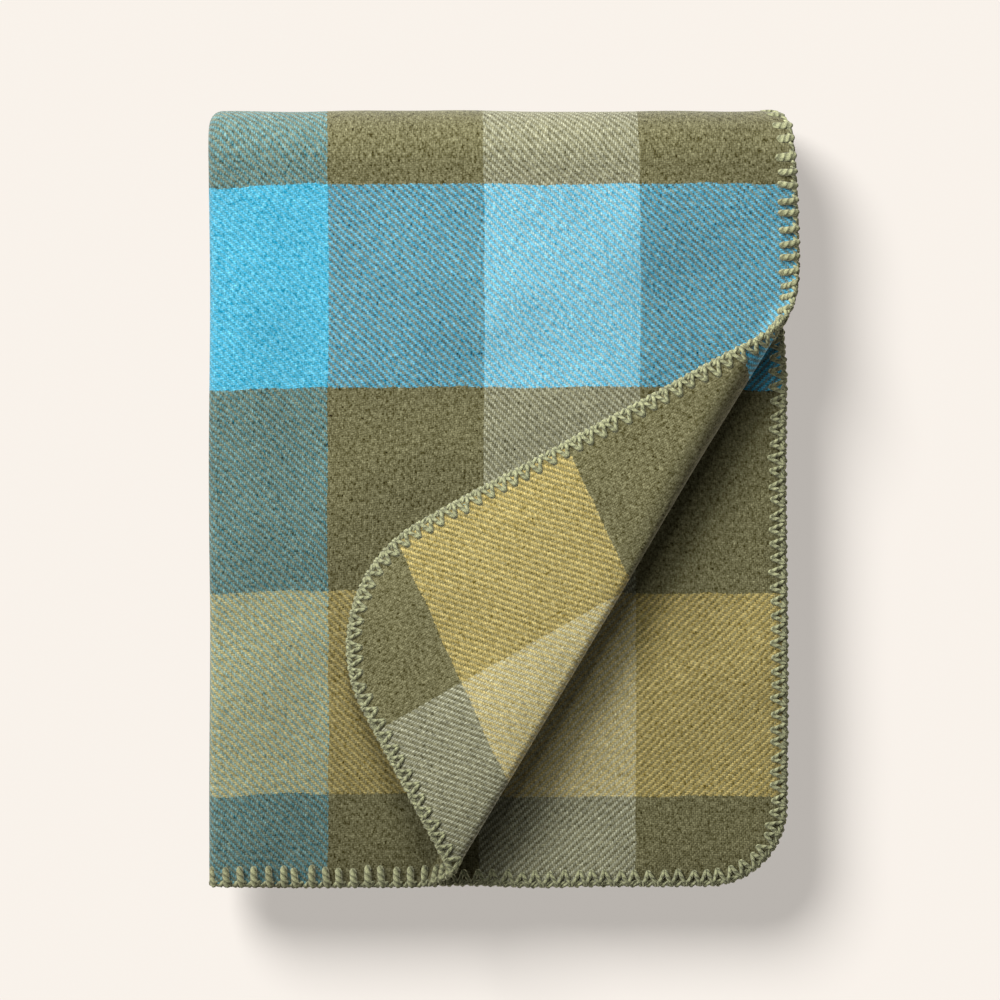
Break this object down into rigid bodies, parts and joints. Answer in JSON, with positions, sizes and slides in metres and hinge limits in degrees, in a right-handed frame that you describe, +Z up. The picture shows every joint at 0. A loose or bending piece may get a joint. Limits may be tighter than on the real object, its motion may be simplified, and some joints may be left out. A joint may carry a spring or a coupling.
{
  "type": "camp blanket",
  "caption": "Striped wool camp blanket with a stitched yarn edging, folded into a flat rectangular bundle with one corner turned back over the top",
  "frame": {"origin": "centre of the folded bundle's bounding box, on the surface it lies on", "axes": "X across the bundle with the top leaf's free side edge at +X, Y along the bundle with the upper end fold at +Y, Z up"},
  "size_m": [0.3265, 0.4303, 0.08],
  "materials": {
    "cloth": "brushed twill weave, chequered in blue, olive, sage and gold",
    "edging_yarn": "thick two-ply yarn, matt"
  },
  "bodies": {
    "lower_half": {"leaf_3_1": "cloth", "leaf_3_2": "cloth", "leaf_3_3": "cloth", "leaf_3_4": "cloth", "leaf_4_1": "cloth", "leaf_4_2": "cloth", "leaf_4_3": "cloth", "leaf_4_4": "cloth", "edging_3_1": "edging_yarn", "edging_3_2": "edging_yarn", "edging_4_1": "edging_yarn", "edging_4_2": "edging_yarn", "outer_side_fold_3": "cloth", "inner_side_fold_3": "cloth", "right_side_fold_3": "cloth", "outer_side_fold_4": "cloth", "inner_side_fold_4": "cloth", "right_side_fold_4": "cloth", "outer_end_fold": "cloth", "inner_end_fold": "cloth", "lower_end_fold": "cloth", "outer_end_fold_edging": "edging_yarn", "inner_end_fold_edging": "edging_yarn", "lower_end_fold_edging": "edging_yarn"},
    "upper_half": {"leaf_1_1": "cloth", "leaf_1_2": "cloth", "leaf_1_3": "cloth", "leaf_1_4": "cloth", "leaf_2_1": "cloth", "leaf_2_2": "cloth", "leaf_2_3": "cloth", "leaf_2_4": "cloth", "edging_1_1": "edging_yarn", "edging_1_2": "edging_yarn", "edging_1_3": "edging_yarn", "edging_1_4": "edging_yarn", "edging_2_1": "edging_yarn", "edging_2_2": "edging_yarn", "edging_2_3": "edging_yarn", "edging_2_4": "edging_yarn", "outer_side_fold_1": "cloth", "inner_side_fold_1": "cloth", "right_side_fold_1": "cloth", "outer_side_fold_2": "cloth", "inner_side_fold_2": "cloth", "right_side_fold_2": "cloth", "side_fold_edging_1": "edging_yarn", "side_fold_edging_2": "edging_yarn", "turned_roll": "cloth", "turned_roll_edging": "edging_yarn"},
    "corner_flap": {"turned_corner": "cloth", "turned_corner_edging": "edging_yarn"}
  },
  "joints": [
    {"name": "top_fold", "type": "hinge", "parent": "lower_half", "child": "upper_half", "pos_m": [0, 0.1864, 0.0286], "axis": [-1, 0, 0], "range_deg": [0, 180], "deforming": ["outer_end_fold", "inner_end_fold", "outer_end_fold_edging", "inner_end_fold_edging"]},
    {"name": "corner_turn", "type": "hinge", "parent": "upper_half", "child": "corner_flap", "pos_m": [0.06879, -0.04634, 0.06797], "axis": [0.512, 0.859, 0], "range_deg": [0, 189.69], "deforming": ["turned_roll", "turned_roll_edging"]}
  ]
}
